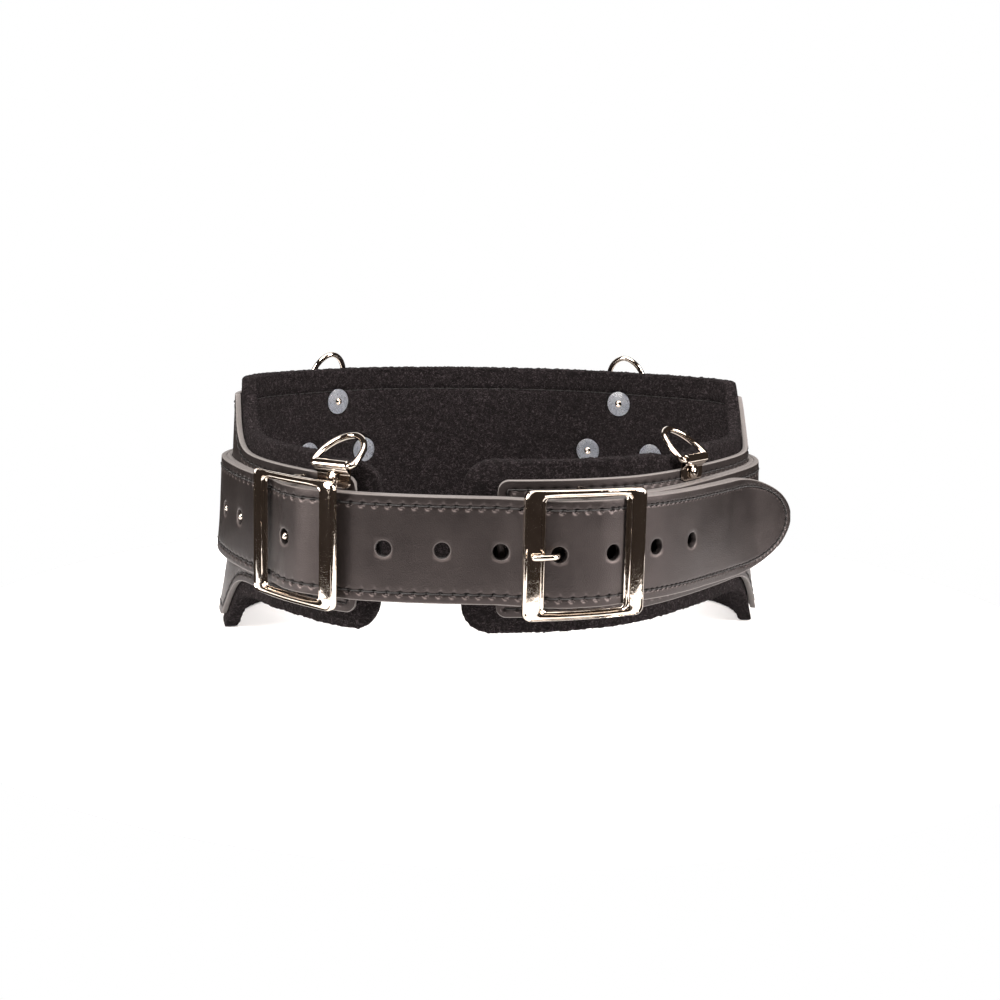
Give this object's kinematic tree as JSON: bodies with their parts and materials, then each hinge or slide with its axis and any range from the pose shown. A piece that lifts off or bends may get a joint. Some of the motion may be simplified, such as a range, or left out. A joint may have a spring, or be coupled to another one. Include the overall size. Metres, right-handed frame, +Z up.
{
  "type": "tool belt",
  "caption": "Padded leather tool belt standing as a closed oval: felt pad, leather backing, wide punched strap, two square buckles and riveted D-rings to carry pouches.",
  "frame": {"origin": "middle of the belt's footprint, on the surface that it stands on", "axes": "+Z up, -Y towards the front where both buckles are, +X to the right seen from the front (the wearer's left)"},
  "size_m": [0.4692, 0.3908, 0.2166],
  "materials": {
    "strap_leather": "semi-gloss smooth bridle leather",
    "backing_leather": "matte leather",
    "felt": "fuzzy felt",
    "nickel": "polished nickel",
    "washer_plastic": "translucent"
  },
  "bodies": {
    "belt": {"felt_pad": "felt", "leather_backing": "backing_leather", "belt_strap": "strap_leather", "left_stud_1": "nickel", "left_stud_2": "nickel", "left_stud_3": "nickel", "front_left_ring_clip": "nickel", "front_left_clip_rivet": "nickel", "front_left_clip_washer": "washer_plastic", "front_right_ring_clip": "nickel", "front_right_clip_rivet": "nickel", "front_right_clip_washer": "washer_plastic", "back_right_ring_clip": "nickel", "back_right_clip_rivet": "nickel", "back_right_clip_washer": "washer_plastic", "back_left_ring_clip": "nickel", "back_left_clip_rivet": "nickel", "back_left_clip_washer": "washer_plastic", "back_right_inner_strap_rivet": "nickel", "back_right_inner_strap_washer": "washer_plastic", "back_right_outer_strap_rivet": "nickel", "back_right_outer_strap_washer": "washer_plastic", "back_left_inner_strap_rivet": "nickel", "back_left_inner_strap_washer": "washer_plastic", "back_left_outer_strap_rivet": "nickel", "back_left_outer_strap_washer": "washer_plastic"},
    "right_buckle_frame": {"right_buckle_frame": "nickel"},
    "right_buckle_prong": {"right_buckle_prong": "nickel"},
    "left_buckle_frame": {"left_buckle_frame": "nickel"},
    "front_left_d_ring": {"front_left_d_ring": "nickel"},
    "front_right_d_ring": {"front_right_d_ring": "nickel"},
    "back_right_d_ring": {"back_right_d_ring": "nickel"},
    "back_left_d_ring": {"back_left_d_ring": "nickel"}
  },
  "joints": [
    {"name": "front_left_ring_swing", "type": "hinge", "parent": "belt", "child": "front_left_d_ring", "pos_m": [-0.13996, -0.14259, 0.1555], "axis": [0.7799, -0.6259, 0], "range_deg": [0, 165]},
    {"name": "front_right_ring_swing", "type": "hinge", "parent": "belt", "child": "front_right_d_ring", "pos_m": [0.13053, -0.10486, 0.1555], "axis": [0.7042, 0.71, 0], "range_deg": [0, 178]},
    {"name": "back_right_ring_swing", "type": "hinge", "parent": "belt", "child": "back_right_d_ring", "pos_m": [0.13095, 0.13992, 0.184], "axis": [-0.8013, 0.5982, 0], "range_deg": [0, 190]},
    {"name": "back_left_ring_swing", "type": "hinge", "parent": "belt", "child": "back_left_d_ring", "pos_m": [-0.14743, 0.13973, 0.184], "axis": [-0.7876, -0.6163, 0], "range_deg": [0, 190]},
    {"name": "right_buckle_tilt", "type": "hinge", "parent": "belt", "child": "right_buckle_frame", "pos_m": [0.03258, -0.16781, 0.099], "axis": [0, 0, 1], "range_deg": [-2, 0.5]},
    {"name": "left_buckle_tilt", "type": "hinge", "parent": "belt", "child": "left_buckle_frame", "pos_m": [-0.16085, -0.12276, 0.10048], "axis": [0.0062, 0.0051, 1], "range_deg": [-2, 2]},
    {"name": "right_prong_swing", "type": "hinge", "parent": "right_buckle_frame", "child": "right_buckle_prong", "pos_m": [0.03258, -0.16781, 0.099], "axis": [0, 0, 1], "range_deg": [0, 1.5]}
  ]
}
